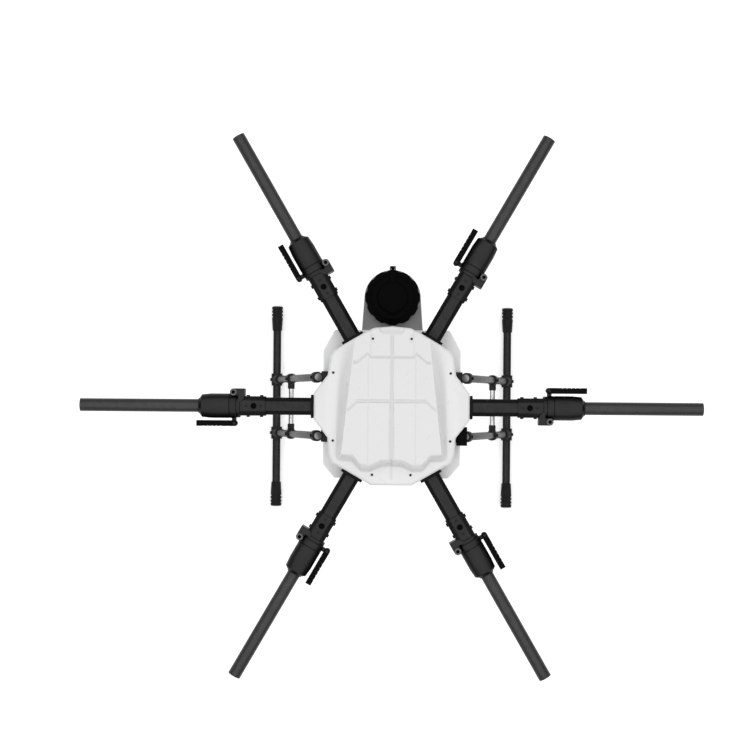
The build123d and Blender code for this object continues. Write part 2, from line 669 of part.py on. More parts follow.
def tank():
    """Hollow moulded tank with two slots for the rails and a neck at the rear."""
    body = prism(tank_points(0), TANK_BOTTOM, TANK_TOP)
    top_edge, bottom_edge = TANK_EDGE
    body = chamfer(body.faces().sort_by(Axis.Z)[0].edges(), bottom_edge)
    body = chamfer(body.faces().sort_by(Axis.Z)[-1].edges(), top_edge)
    body += snout_body(0, TANK_BOTTOM + 10, SNOUT_TOP)
    body += post(NECK_R, 0, CAP_Y, SNOUT_TOP, NECK_TOP)
    slot_end = RAIL_HALF_LENGTH + RAIL_CLEARANCE
    cavity = prism(tank_points(TANK_WALL), TANK_BOTTOM + TANK_WALL, TANK_TOP - TANK_WALL)
    cavity = chamfer(cavity.faces().sort_by(Axis.Z)[0].edges(), 8)
    slot_floor = LOWER_BOTTOM - RAIL_DEPTH - RAIL_CLEARANCE
    keep = RAIL_FOOT / 2 + RAIL_CLEARANCE + TANK_WALL
    for side in (-1, 1):
        body -= rail_profile(side, RAIL_CLEARANCE, TANK_FRONT - 1, slot_end)
        x = side * RAIL_X
        cavity -= block(x - keep, x + keep, TANK_FRONT, slot_end + TANK_WALL,
                        slot_floor - TANK_WALL, TANK_TOP)
    cavity += snout_body(TANK_WALL, TANK_BOTTOM + 10 + TANK_WALL, SNOUT_TOP - TANK_WALL)
    cavity += post(NECK_R - NECK_WALL, 0, CAP_Y, SNOUT_TOP - TANK_WALL - 1, NECK_TOP)
    return body - cavity


def tank_rails():
    return [rail_profile(side, 0, -RAIL_HALF_LENGTH, RAIL_HALF_LENGTH) for side in (-1, 1)]


def cap_seal():
    ring = post(NECK_R, 0, CAP_Y, CAP_UNDER - SEAL_T, CAP_UNDER)
    return ring - post(NECK_R - NECK_WALL - 2, 0, CAP_Y, CAP_UNDER - SEAL_T, CAP_UNDER)


def filler_cap():
    """Screw cap with a finger rim, a filling port and two ears for the lid's hinge."""
    body = post(CAP_R, 0, CAP_Y, CAP_UNDER - CAP_SKIRT, CAP_TOP)
    away = CAP_R - SCALLOP_DEPTH + SCALLOP_R
    for step in range(SCALLOPS):
        turn = math.radians((step + 0.5) * 360 / SCALLOPS)
        x, y = away * math.cos(turn), CAP_Y + away * math.sin(turn)
        body -= post(SCALLOP_R, x, y, CAP_UNDER - CAP_SKIRT, CAP_TOP)
    ridge = post(RIDGE_R + RIDGE_HALF, 0, CAP_Y, CAP_TOP, CAP_TOP + RIDGE_HALF)
    ridge -= post(RIDGE_R - RIDGE_HALF, 0, CAP_Y, CAP_TOP, CAP_TOP + RIDGE_HALF)
    gap = STRAP_WIDTH / 2 + 1
    body += ridge - block(-gap, gap, CAP_Y, CAP_Y + CAP_R, CAP_TOP, CAP_TOP + 2)
    for step in range(4):
        rib = Rot(0, 0, 45 + 90 * step) * block(RIDGE_R - 7, RIDGE_R, -1, 1, CAP_TOP, CAP_TOP + 1)
        body += Pos(0, CAP_Y, 0) * rib
    body -= post(NECK_R + CAP_CLEARANCE, 0, CAP_Y, CAP_UNDER - CAP_SKIRT, CAP_UNDER)
    body -= post(PORT_R, 0, CAP_Y, CAP_UNDER, CAP_TOP)
    hinge_y, hinge_z = CAP_Y + HINGE_Y, CAP_TOP + 2
    for side in (-1, 1):
        near, far = sorted((side * (LID_KNUCKLE_HALF + 0.3), side * (LID_KNUCKLE_HALF + 0.3 + LID_EAR_T)))
        ear_end = hinge_y + LID_KNUCKLE_R
        body += block(near, far, CAP_Y + CAP_R - 5, ear_end, CAP_TOP - 7, hinge_z)
        body += rod(LID_KNUCKLE_R, (near, hinge_y, hinge_z), (far, hinge_y, hinge_z))
        body -= rod(LID_PIN_R, (near, hinge_y, hinge_z), (far, hinge_y, hinge_z))
    return body


def cap_lid():
    """Flip lid with a plug, a finger tab and a strap that reaches back to its hinge."""
    low = CAP_TOP + LID_GAP
    hinge_y, hinge_z = CAP_Y + HINGE_Y, CAP_TOP + 2
    lid = post(LID_R, 0, CAP_Y, low, low + LID_T) + post(LID_PLUG_R, 0, CAP_Y, low - LID_PLUG, low)
    lid += block(-9, 9, CAP_Y - LID_R - 4, CAP_Y - LID_R + 4, low, low + LID_T)
    half = STRAP_WIDTH / 2
    lid += block(-half, half, CAP_Y + PORT_R - 4, CAP_Y + CAP_R - 5.5, low, low + STRAP_T)
    knuckle = LID_KNUCKLE_HALF
    lid += block(-knuckle, knuckle, CAP_Y + CAP_R - 6, hinge_y, low, low + STRAP_T)
    lid += rod(LID_KNUCKLE_R, (-knuckle, hinge_y, hinge_z), (knuckle, hinge_y, hinge_z))
    return lid - rod(LID_PIN_R + RUNNING, (-knuckle, hinge_y, hinge_z), (knuckle, hinge_y, hinge_z))


def lid_pin():
    reach = LID_KNUCKLE_HALF + 0.3 + LID_EAR_T
    hinge_y, hinge_z = CAP_Y + HINGE_Y, CAP_TOP + 2
    return rod(LID_PIN_R, (-reach, hinge_y, hinge_z), (reach, hinge_y, hinge_z))


# Landing gear
def leg_point(along_from_top):
    """A point on the right rear leg's axis, measured down from its top."""
    return Vector(LEG_ROOT_X, LEG_Y, LEG_TOP_Z) + LEG_DIRECTION * along_from_top


def leg_length_to(height):
    return (LEG_TOP_Z - height) / -LEG_DIRECTION.Z


def leg_rod(radius, start, end):
    return rod(radius, tuple(leg_point(start)), tuple(leg_point(end)))


def on_four_legs(shape):
    """Copies a shape made at the right rear leg to all four."""
    right = [shape, mirror(shape, about=Plane.XZ)]
    return right + [mirror(item, about=Plane.YZ) for item in right]


def leg():
    """A round tube with a closed top."""
    end = leg_length_to(SKID_Z) - TEE_SEAT
    return leg_rod(LEG_R, 0, end) - leg_rod(LEG_R - LEG_WALL, LEG_CAP, end)


def skid_tee():
    """Collar round a skid with a raked socket for the leg."""
    foot = leg_length_to(SKID_Z)
    y0, y1 = LEG_Y - TEE_LENGTH / 2, LEG_Y + TEE_LENGTH / 2
    body = rod(SKID_R + FITTING_WALL, (SKID_X, y0, SKID_Z), (SKID_X, y1, SKID_Z))
    body += leg_rod(LEG_R + FITTING_WALL, foot - TEE_SOCKET, foot)
    body -= leg_rod(LEG_R, foot - TEE_SOCKET, foot - TEE_SEAT)
    body -= rod(SKID_R, (SKID_X, y0, SKID_Z), (SKID_X, y1, SKID_Z))
    return body - tee_screw_shank()


def tee_screw_shank():
    start, end = SKID_X + SKID_R, SKID_X + SKID_R + FITTING_WALL
    return rod(GEAR_SCREW_R, (start, LEG_Y, SKID_Z), (end, LEG_Y, SKID_Z))


def ring_screw_shank(along):
    """A screw shank in the outer wall of a ring round the leg."""
    centre = leg_point(along)
    return rod(GEAR_SCREW_R, tuple(centre + out_from_leg() * LEG_R),
               tuple(centre + out_from_leg() * (LEG_R + FITTING_WALL)))


def out_from_leg():
    return Vector(-LEG_DIRECTION.Z, 0, LEG_DIRECTION.X)


def ring_screw(along):
    centre = leg_point(along)
    seat = centre + out_from_leg() * (LEG_R + FITTING_WALL - 0.4)
    top = centre + out_from_leg() * (LEG_R + FITTING_WALL + GEAR_HEAD)
    cut = leg_rod(LEG_R + FITTING_WALL, along - CLAMP_LENGTH, along + CLAMP_LENGTH)
    return ring_screw_shank(along) + (rod(GEAR_HEAD_R, tuple(seat), tuple(top)) - cut)


def tee_screw():
    seat = SKID_X + SKID_R + FITTING_WALL
    head = rod(GEAR_HEAD_R, (seat - 0.6, LEG_Y, SKID_Z), (seat + GEAR_HEAD, LEG_Y, SKID_Z))
    head -= rod(SKID_R + FITTING_WALL, (SKID_X, LEG_Y - 9, SKID_Z), (SKID_X, LEG_Y + 9, SKID_Z))
    return tee_screw_shank() + head


def clamp_along():
    return leg_length_to(BRACE_Z)


def brace_clamp():
    """Ring round a leg with a lug that holds the end of the cross brace."""
    middle = clamp_along()
    centre = leg_point(middle)
    end = LEG_Y - LEG_R - FITTING_WALL - BRACE_LUG
    body = leg_rod(LEG_R + FITTING_WALL, middle - CLAMP_LENGTH / 2, middle + CLAMP_LENGTH / 2)
    body += rod(BRACE_R + BRACE_LUG_WALL, (centre.X, end, centre.Z), (centre.X, LEG_Y, centre.Z))
    body -= rod(BRACE_R, (centre.X, end, centre.Z), (centre.X, brace_end(), centre.Z))
    body -= leg_rod(LEG_R, middle - CLAMP_LENGTH, middle + CLAMP_LENGTH)
    return body - ring_screw_shank(middle)


def brace_end():
    return LEG_Y - LEG_R - 1


def cross_braces():
    centre = leg_point(clamp_along())
    reach = brace_end()
    braces = []
    for side in (-1, 1):
        start, end = (side * centre.X, -reach, centre.Z), (side * centre.X, reach, centre.Z)
        braces.append(rod(BRACE_R, start, end) - rod(BRACE_R - BRACE_WALL, start, end))
    return braces


def bracket_along():
    """Middle of the root bracket's ring."""
    return leg_length_to(LOWER_BOTTOM - 2) + BRACKET_LENGTH / 2


def leg_bracket():
    """Foot under the lower plate with a web to a ring round the leg's top."""
    middle = bracket_along()
    inner, width, thick = BRACKET_FOOT
    web_width, web_height = BRACKET_WEB
    web_start = TANK_HALF + BRACKET_TANK_GAP
    ring_x = leg_point(middle).X
    body = leg_rod(LEG_R + FITTING_WALL, middle - BRACKET_LENGTH / 2, middle + BRACKET_LENGTH / 2)
    y0, y1 = LEG_Y - width / 2, LEG_Y + width / 2
    body += block(inner, web_start + 2, y0, y1, LOWER_BOTTOM - thick, LOWER_BOTTOM)
    body += block(web_start, ring_x, LEG_Y - web_width / 2, LEG_Y + web_width / 2,
                  LOWER_BOTTOM - web_height, LOWER_BOTTOM)
    body -= leg_rod(LEG_R, 0, middle + BRACKET_LENGTH)
    body -= [post(GEAR_SCREW_R, x, y, LOWER_BOTTOM - thick, LOWER_BOTTOM) for x, y in BRACKET_BOLTS]
    return body - ring_screw_shank(middle)


def bracket_bolt(x, y):
    low = LOWER_BOTTOM - BRACKET_FOOT[2]
    shank = post(GEAR_SCREW_R, x, y, low, LOWER_TOP)
    return shank + post(GEAR_HEAD_R, x, y, LOWER_TOP, LOWER_TOP + GEAR_HEAD)


def gear_screws():
    """Every screw of the landing gear."""
    one_leg = [tee_screw(), ring_screw(clamp_along()), ring_screw(bracket_along())]
    one_leg += [bracket_bolt(x, y) for x, y in BRACKET_BOLTS]
    return [copy for screw in one_leg for copy in on_four_legs(screw)]


def skid(side):
    x = side * SKID_X
    start, end = (x, -SKID_HALF + 3, SKID_Z), (x, SKID_HALF - 3, SKID_Z)
    return rod(SKID_R, start, end) - rod(SKID_R - SKID_WALL, start, end)


def skid_grip():
    """Rubber end sleeve with two grooves and a tapered inner end, at the right rear."""
    inner = SKID_HALF - GRIP_LENGTH
    taper = GRIP_TAPER
    body = rod(GRIP_R, (SKID_X, inner + taper, SKID_Z), (SKID_X, SKID_HALF, SKID_Z))
    tail = Plane(origin=(SKID_X, inner, SKID_Z), z_dir=(0, 1, 0))
    body += tail * Cone(SKID_R + 2, GRIP_R, taper, align=(Align.CENTER, Align.CENTER, Align.MIN))
    width, depth = GRIP_GROOVE
    for back in GRIP_GROOVES:
        start, end = SKID_HALF - back - width, SKID_HALF - back
        ring = rod(GRIP_R + 1, (SKID_X, start, SKID_Z), (SKID_X, end, SKID_Z))
        body -= ring - rod(GRIP_R - depth, (SKID_X, start, SKID_Z), (SKID_X, end, SKID_Z))
    return body - rod(SKID_R, (SKID_X, inner, SKID_Z), (SKID_X, SKID_HALF - 3, SKID_Z))


def side_connector():
    """Power and signal junction on the hub's right front side."""
    width, length, height = CONNECTOR
    x, y = CONNECTOR_AT
    low = LOWER_TOP + CONNECTOR_LIFT
    body = Pos(x, y, low + height / 2) * Box(width, length, height)
    return body - hub_prism(1, low, low + height)


# Writing the nodes
def save_arms():
    save("root_tubes", on_every_arm(root_tube()))
    save("fold_bolts", on_every_arm(fold_bolt()))
    save("socket_screws", [on_arm(number, screw) for number in range(ARM_COUNT) for screw in side_screws()])
    each = {"fold_socket": fold_socket(), "fold_sleeve": fold_sleeve(), "outer_tube": outer_tube(),
            "latch_lever": latch_lever(), "latch_pin": latch_pin()}
    for name, shape in each.items():
        for number in range(ARM_COUNT):
            save(f"{name}_{number + 1}", on_arm(number, shape))


def save_hub():
    save("upper_plate", upper_plate())
    save("lower_plate", lower_plate())
    save("side_panels", side_panels())
    save("arm_collars", on_every_arm(arm_collar()))
    save("collar_bolts", collar_bolts())
    save("hub_posts", hub_posts())
    save("top_cover", top_cover())
    save("cover_screws", cover_screws())
    save("battery", battery())
    save("autopilot", autopilot())
    save("power_board", power_board())
    save("side_connector", side_connector())


def save_tank():
    save("tank", tank())
    save("tank_rails", tank_rails())
    save("filler_cap", filler_cap())
    save("cap_seal", cap_seal())
    save("cap_lid", cap_lid())
    save("lid_pin", lid_pin())


def save_landing_gear():
    save("legs", on_four_legs(leg()))
    save("skid_tees", on_four_legs(skid_tee()))
    save("brace_clamps", on_four_legs(brace_clamp()))
    save("leg_brackets", on_four_legs(leg_bracket()))
    save("skid_grips", on_four_legs(skid_grip()))
    save("gear_screws", gear_screws())
    save("cross_braces", cross_braces())
    save("skid_right", skid(1))
    save("skid_left", skid(-1))


save_arms()
save_hub()
save_tank()
save_landing_gear()
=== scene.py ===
# %% [markdown]
# # A folding six-armed sprayer airframe
# The aircraft is drawn as a finished product standing on its skids. The frame brings the measured parts,
# and this lesson gives them their surfaces: edges that catch light, woven carbon, moulded nylon,
# a glossy white hood, a milky tank. Loading the frame first means every later piece is placed by it.

# %% Load the frame
import json
import math
import bmesh
import bpy
from mathutils import Matrix, Vector


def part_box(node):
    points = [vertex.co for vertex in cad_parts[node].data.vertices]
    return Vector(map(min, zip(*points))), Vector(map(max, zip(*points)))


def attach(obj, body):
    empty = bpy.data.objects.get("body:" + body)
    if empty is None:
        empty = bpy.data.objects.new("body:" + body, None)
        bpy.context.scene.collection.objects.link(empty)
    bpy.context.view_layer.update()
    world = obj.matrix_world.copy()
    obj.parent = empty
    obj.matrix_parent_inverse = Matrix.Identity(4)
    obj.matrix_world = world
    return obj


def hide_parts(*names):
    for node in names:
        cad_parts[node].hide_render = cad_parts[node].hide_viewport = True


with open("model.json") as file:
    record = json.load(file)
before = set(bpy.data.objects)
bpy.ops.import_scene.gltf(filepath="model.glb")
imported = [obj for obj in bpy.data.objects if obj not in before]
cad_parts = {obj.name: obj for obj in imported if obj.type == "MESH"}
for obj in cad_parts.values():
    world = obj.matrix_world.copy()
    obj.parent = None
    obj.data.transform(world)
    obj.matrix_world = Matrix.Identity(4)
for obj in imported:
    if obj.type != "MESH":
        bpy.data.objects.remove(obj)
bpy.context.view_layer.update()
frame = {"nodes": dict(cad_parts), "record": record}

MM = 0.001

# %% [markdown]
# Every arm is the same arm, turned by sixty degrees, so a part is modelled once in the arm's own
# frame, with X outwards and Y to its left, and then turned into place. The joints of the frame say
# where the hinge bolts and latch pins are, and the boxes of its nodes say where everything else is.

# %% Places read from the frame
BODY_OF = {node: body for body, nodes in frame["record"]["behaviour"]["bodies"].items() for node in nodes}
ARMS = range(1, 7)


def span(node, axis):
    """Lowest and highest coordinate of a node along an axis, in millimetres."""
    low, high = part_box(node)
    return low[axis] / MM, high[axis] / MM


ARM_Z = sum(span("root_tubes", 2)) / 2
TIP_X = span("outer_tube_1", 0)[1]
SLEEVE_END = span("fold_sleeve_1", 0)[1]
TUBE_R = (span("outer_tube_1", 2)[1] - span("outer_tube_1", 2)[0]) / 2
PLATE_TOP = span("upper_plate", 2)[1]
print("arm axis height", round(ARM_Z), "tip", round(TIP_X), "sleeve end", round(SLEEVE_END))


def arm_place(number):
    """The matrix from an arm's own frame to the aircraft's."""
    turn = Matrix.Rotation(math.radians(60 * (number - 1)), 4, "Z")
    return Matrix.Translation((0, 0, ARM_Z * MM)) @ turn


# %% [markdown]
# A piece always ends the same way: its doubles are merged, its faces are made to point outwards,
# it gets a look, and it is told which body carries it. Edges sharper than about thirty-five degrees
# stay crisp while the rest shade smoothly, as a mould or a lathe leaves them.

# %% Finishing a piece
def finish_piece(name, shape, body, look, stands_for=(), place=None, crisp=35, mend=True):
    if place is not None:
        bmesh.ops.transform(shape, matrix=place, verts=shape.verts)
    if mend:
        bmesh.ops.remove_doubles(shape, verts=shape.verts, dist=0.005 * MM)
        bmesh.ops.recalc_face_normals(shape, faces=shape.faces)
    mesh = bpy.data.meshes.new(name)
    shape.to_mesh(mesh)
    shape.free()
    mesh.materials.append(look)
    for face in mesh.polygons:
        face.use_smooth = True
    mesh.set_sharp_from_angle(angle=math.radians(crisp))
    piece = bpy.data.objects.new(name, mesh)
    bpy.context.scene.collection.objects.link(piece)
    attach(piece, body)
    if stands_for:
        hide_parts(*stands_for)
    return piece


# %% [markdown]
# Round parts come off a lathe. A profile of (distance, radius) points is spun about the X axis, and the
# spin is merged where it meets itself. The tube's own map counts tows of carbon: across the map it goes
# round the tube, up the map it goes along it, so the weave follows every tube whichever way it points.

# %% Turned shapes
TOW = 2.0
ROUND_STEPS = 64


def turned(profile, steps=ROUND_STEPS):
    shape = bmesh.new()
    points = [shape.verts.new((x * MM, 0, radius * MM)) for x, radius in profile]
    edges = [shape.edges.new(pair) for pair in zip(points, points[1:])]
    bmesh.ops.spin(shape, geom=points + edges, cent=(0, 0, 0), axis=(1, 0, 0),
                   angle=math.tau, steps=steps, use_merge=True)
    bmesh.ops.remove_doubles(shape, verts=shape.verts, dist=0.002 * MM)
    return shape


def map_tows(shape, radius):
    """A map in tows whose seam closes, because a whole number of twill repeats goes round."""
    repeats = 4 * round(math.tau * radius / TOW / 4)
    layer = shape.loops.layers.uv.new("tows")
    for face in shape.faces:
        centre = face.calc_center_median()
        middle = math.atan2(centre.y, centre.z)
        for loop in face.loops:
            angle = math.atan2(loop.vert.co.y, loop.vert.co.z)
            angle = middle + math.remainder(angle - middle, math.tau)
            loop[layer].uv = (angle / math.tau * repeats, loop.vert.co.x / MM / TOW)


def tube_shape(start, end, radius, wall, rim=0.6):
    """A tube with a softened outer rim, closed all round."""
    inner = radius - wall
    profile = [(start, inner), (start, radius - rim), (start + rim, radius), (end - rim, radius),
               (end - rim * 0.3, radius - rim * 0.3), (end, radius - rim), (end, inner), (start, inner)]
    shape = turned(profile)
    map_tows(shape, radius)
    return shape


def along(start, end):
    """The matrix that lays the X axis from one point to another, both in millimetres."""
    start, end = Vector(start) * MM, Vector(end) * MM
    return Matrix.Translation(start) @ (end - start).to_track_quat("X", "Z").to_matrix().to_4x4()


# %% [markdown]
# A surface is more than a colour. Each look starts from the same recipe: a slow noise shifts the tone a
# little, a middle noise shifts the roughness as handling does, and a fine noise lifts the surface by
# hundredths of a millimetre for the grain. Everything reads Object coordinates in metres, so the grain
# has its real size.

# %% Look recipe
def wire(tree, source, target):
    tree.links.new(source, target)


def add_node(tree, kind, **settings):
    made = tree.nodes.new(kind)
    for key, value in settings.items():
        setattr(made, key, value)
    return made


def noise_at(tree, coordinates, size_mm, detail=4.0, stretch=None):
    """Noise whose lumps are about size_mm across; stretch scales each axis first."""
    made = add_node(tree, "ShaderNodeTexNoise")
    made.inputs["Scale"].default_value = 1 / (size_mm * MM)
    made.inputs["Detail"].default_value = detail
    if stretch:
        mapping = add_node(tree, "ShaderNodeMapping")
        mapping.inputs["Scale"].default_value = stretch
        wire(tree, coordinates, mapping.inputs["Vector"])
        coordinates = mapping.outputs["Vector"]
    wire(tree, coordinates, made.inputs["Vector"])
    return made.outputs["Fac"]


def ranged(tree, value, low, high, start=0.3, end=0.7):
    made = add_node(tree, "ShaderNodeMapRange")
    for key, number in (("From Min", start), ("From Max", end), ("To Min", low), ("To Max", high)):
        made.inputs[key].default_value = number
    wire(tree, value, made.inputs["Value"])
    return made.outputs["Result"]


def blended(tree, factor, first, second):
    made = add_node(tree, "ShaderNodeMix", data_type="RGBA")
    wire(tree, factor, made.inputs[0])
    for socket, value in ((made.inputs[6], first), (made.inputs[7], second)):
        if isinstance(value, tuple):
            socket.default_value = (*value, 1)
        else:
            wire(tree, value, socket)
    return made.outputs[2]


def bumped(tree, height, depth_mm, under=None):
    made = add_node(tree, "ShaderNodeBump")
    made.inputs["Strength"].default_value = 1.0
    made.inputs["Distance"].default_value = depth_mm * MM
    wire(tree, height, made.inputs["Height"])
    if under is not None:
        wire(tree, under, made.inputs["Normal"])
    return made.outputs["Normal"]


def shaded(colour, share):
    return tuple(min(1.0, channel * share) for channel in colour)


def make_look(name, colour, rough, metal=0.0, coat=0.0, grain=0.5, depth=0.01, patch=35.0, tone=0.12,
              swing=0.06, stretch=None, gleam=0.5):
    material = bpy.data.materials.new(name)
    material.use_nodes = True
    tree = material.node_tree
    shader = tree.nodes["Principled BSDF"]
    shader.inputs["Metallic"].default_value = metal
    shader.inputs["Specular IOR Level"].default_value = gleam
    shader.inputs["Coat Weight"].default_value = coat
    shader.inputs["Coat Roughness"].default_value = 0.08
    place = add_node(tree, "ShaderNodeTexCoord").outputs["Object"]
    slow = noise_at(tree, place, patch)
    colours = blended(tree, ranged(tree, slow, 0, 1), shaded(colour, 1 - tone), shaded(colour, 1 + tone))
    wire(tree, colours, shader.inputs["Base Color"])
    handled = noise_at(tree, place, patch / 4)
    wire(tree, ranged(tree, handled, rough - swing, rough + swing), shader.inputs["Roughness"])
    fine = noise_at(tree, place, grain, 2.0, stretch)
    wire(tree, bumped(tree, fine, depth), shader.inputs["Normal"])
    return material


# %% [markdown]
# A dark bevel or tube side reflects the dim horizon, and its top reflects the bright sky. That is painted
# shade here: a facing value paints the colour darker towards the edges as the eye sees them, which keeps
# narrow bevels crisp.

# %% Painted edge shade
def paint_edge_shade(material, edge_tone, start, end):
    tree = material.node_tree
    facing = add_node(tree, "ShaderNodeLayerWeight").outputs["Facing"]
    colour = tree.nodes["Principled BSDF"].inputs["Base Color"]
    plain = colour.links[0].from_socket
    turned_away = ranged(tree, facing, 0, 1, start, end)
    wire(tree, blended(tree, turned_away, plain, (edge_tone,) * 3), colour)


# %% [markdown]
# Carbon tube is a two-over two-under twill under clear lacquer. Two floors and a modulo say which
# tow is on top, and a half sine across each tow rounds it. Tows that run along catch light differently
# from tows that run across, which is what makes carbon shimmer, so they differ in tone and roughness.

# %% Woven carbon
def make_carbon(name, along_tone, across_tone, rough, coat, flat=False, lift=0.05, gleam=0.5):
    material = bpy.data.materials.new(name)
    material.use_nodes = True
    tree = material.node_tree
    shader = tree.nodes["Principled BSDF"]
    shader.inputs["Specular IOR Level"].default_value = gleam
    shader.inputs["Coat Weight"].default_value = coat
    shader.inputs["Coat Roughness"].default_value = 0.12
    coords = add_node(tree, "ShaderNodeTexCoord")
    if flat:
        mapping = add_node(tree, "ShaderNodeMapping")
        mapping.inputs["Scale"].default_value = (1 / (TOW * MM),) * 3
        mapping.inputs["Rotation"].default_value = (0, 0, math.radians(45))
        wire(tree, coords.outputs["Object"], mapping.inputs["Vector"])
        weave_map = mapping.outputs["Vector"]
    else:
        weave_map = coords.outputs["UV"]
    split = add_node(tree, "ShaderNodeSeparateXYZ")
    wire(tree, weave_map, split.inputs[0])

    def maths(operation, first, second=None):
        made = add_node(tree, "ShaderNodeMath", operation=operation)
        for socket, value in zip(made.inputs, (first, second)):
            if isinstance(value, (int, float)):
                socket.default_value = value
            elif value is not None:
                wire(tree, value, socket)
        return made.outputs[0]

    across, along_map = split.outputs[0], split.outputs[1]
    step = maths("ADD", maths("FLOOR", across), maths("FLOOR", along_map))
    on_top = maths("LESS_THAN", maths("FLOORED_MODULO", step, 4), 2)
    hump_along = maths("SINE", maths("MULTIPLY", maths("FRACT", across), math.pi))
    hump_across = maths("SINE", maths("MULTIPLY", maths("FRACT", along_map), math.pi))
    under = maths("SUBTRACT", 1.0, on_top)
    height = maths("ADD", maths("MULTIPLY", hump_along, on_top), maths("MULTIPLY", hump_across, under))
    cloudy = noise_at(tree, coords.outputs["Object"], 14, 3.0)
    light = blended(tree, ranged(tree, cloudy, 0, 1), shaded(along_tone, 0.75), shaded(along_tone, 1.3))
    wire(tree, blended(tree, on_top, across_tone, light), shader.inputs["Base Color"])
    wire(tree, ranged(tree, on_top, rough + 0.12, rough, 0, 1), shader.inputs["Roughness"])
    wire(tree, bumped(tree, height, lift), shader.inputs["Normal"])
    return material


# %% [markdown]
# Each carbon part has its own weave: the outer tubes are the lightest and show their tows, the thick root
# tubes and the skids are darker, and the flat plates lie in their own map turned by 45 degrees.

# %% The carbons
ARM_CARBON = make_carbon("arm_carbon", (0.052, 0.052, 0.054), (0.044, 0.044, 0.046), 0.38, 0.1, gleam=0.3)
ROOT_CARBON = make_carbon("root_carbon", (0.034, 0.034, 0.035), (0.032, 0.032, 0.033), 0.42, 0.0,
                          lift=0.02, gleam=0.12)
GEAR_CARBON = make_carbon("gear_carbon", (0.040, 0.040, 0.041), (0.034, 0.034, 0.035), 0.40, 0.0,
                         gleam=0.15)
PLATE_CARBON = make_carbon("plate_carbon", (0.030, 0.030, 0.031), (0.014, 0.014, 0.015), 0.45, 0.1, flat=True)
# Painted shade: each carbon's base colour darkens towards its edges as the eye sees them.
paint_edge_shade(ARM_CARBON, 0.006, 0.10, 0.45)
paint_edge_shade(ROOT_CARBON, 0.001, 0.12, 0.28)
paint_edge_shade(GEAR_CARBON, 0.001, 0.06, 0.32)
print("woven carbons:", [look.name for look in (ARM_CARBON, ROOT_CARBON, GEAR_CARBON, PLATE_CARBON)])

# %% [markdown]
# The fold joints, collars and fittings are glass-filled nylon: nearly black, satin, with a fine
# spark-eroded grain from the mould. The levers and the cap are smoother. Rubber is duller still. Screws are
# black oxide, the hinge bolts are turned steel, and the cross braces are polished aluminium tube.

# %% Moulded, turned and rubber looks
NYLON = make_look("moulded_nylon", (0.032, 0.032, 0.033), 0.44, grain=0.35, depth=0.02, gleam=0.12)
COLLAR_NYLON = make_look("collar_nylon", (0.005, 0.005, 0.0055), 0.46, grain=0.4, depth=0.025, gleam=0.12)
LEVER_BLACK = make_look("lever_plastic", (0.002, 0.002, 0.0022), 0.42, grain=0.3, depth=0.015, gleam=0.05)
CAP_BLACK = make_look("cap_plastic", (0.0015, 0.0015, 0.0017), 0.45, grain=0.5, depth=0.02, gleam=0.03)
CAP_RIDGE_HIGHLIGHT = make_look("cap_ridge_painted_highlight", (0.020, 0.020, 0.021), 0.45, grain=0.5, depth=0.02, gleam=0.2)
RUBBER = make_look("ribbed_rubber", (0.005, 0.005, 0.005), 0.62, grain=0.7, depth=0.04, tone=0.25, gleam=0.3)
STEEL = make_look("turned_steel", (0.12, 0.118, 0.112), 0.34, metal=1.0, grain=0.25, depth=0.004, tone=0.1)
BLACK_OXIDE = make_look("black_oxide", (0.006, 0.006, 0.0065), 0.40, metal=0.3, grain=0.3, depth=0.006,
                        gleam=0.3)
LEG_GREY = make_look("anodised_tube", (0.34, 0.34, 0.345), 0.36, metal=0.55, grain=0.3, depth=0.003)
BRIGHT_TUBE = make_look("polished_tube", (0.86, 0.86, 0.87), 0.16, metal=1.0, grain=0.3, depth=0.001,
                        tone=0.03, swing=0.04, stretch=(1.0, 0.05, 1.0))
# Painted shade: the polished tube, the grey legs and the nylon darken in base colour towards their edges as
# seen.
paint_edge_shade(BRIGHT_TUBE, 0.02, 0.18, 0.42)
paint_edge_shade(LEG_GREY, 0.02, 0.30, 0.62)
paint_edge_shade(NYLON, 0.002, 0.14, 0.30)
POST_METAL = make_look("turned_aluminium", (0.62, 0.63, 0.65), 0.30, metal=1.0, grain=0.3, depth=0.003)
PACK_WRAP = make_look("shrink_wrap", (0.02, 0.03, 0.06), 0.30, coat=0.4, grain=2.0, depth=0.03)
CASE_GREY = make_look("case_grey", (0.09, 0.09, 0.095), 0.50, grain=0.4, depth=0.02)
BOARD_GREEN = make_look("board_lacquer", (0.012, 0.07, 0.03), 0.32, coat=0.5, grain=1.2, depth=0.02)
print("plastics, rubber and metals made; all looks so far:", len(bpy.data.materials))

# %% [markdown]
# The hood is glossy white moulding: bright, with a faint orange-peel ripple a few millimetres
# across and a trace of dust that dulls it here and there, and painted shade in its grooves. The tank is milky
# polyethylene, so some light passes into it: that is subsurface scattering, with a satin skin and a faint
# painted glow. Its rear snout is painted greyer, as painted shade.

# %% White hood and milky tank
HOOD_WHITE = make_look("hood_gloss", (0.88, 0.88, 0.88), 0.30, coat=0.15, grain=6.0, depth=0.003,
                       patch=90.0, tone=0.006, swing=0.04)
hood_tree = HOOD_WHITE.node_tree
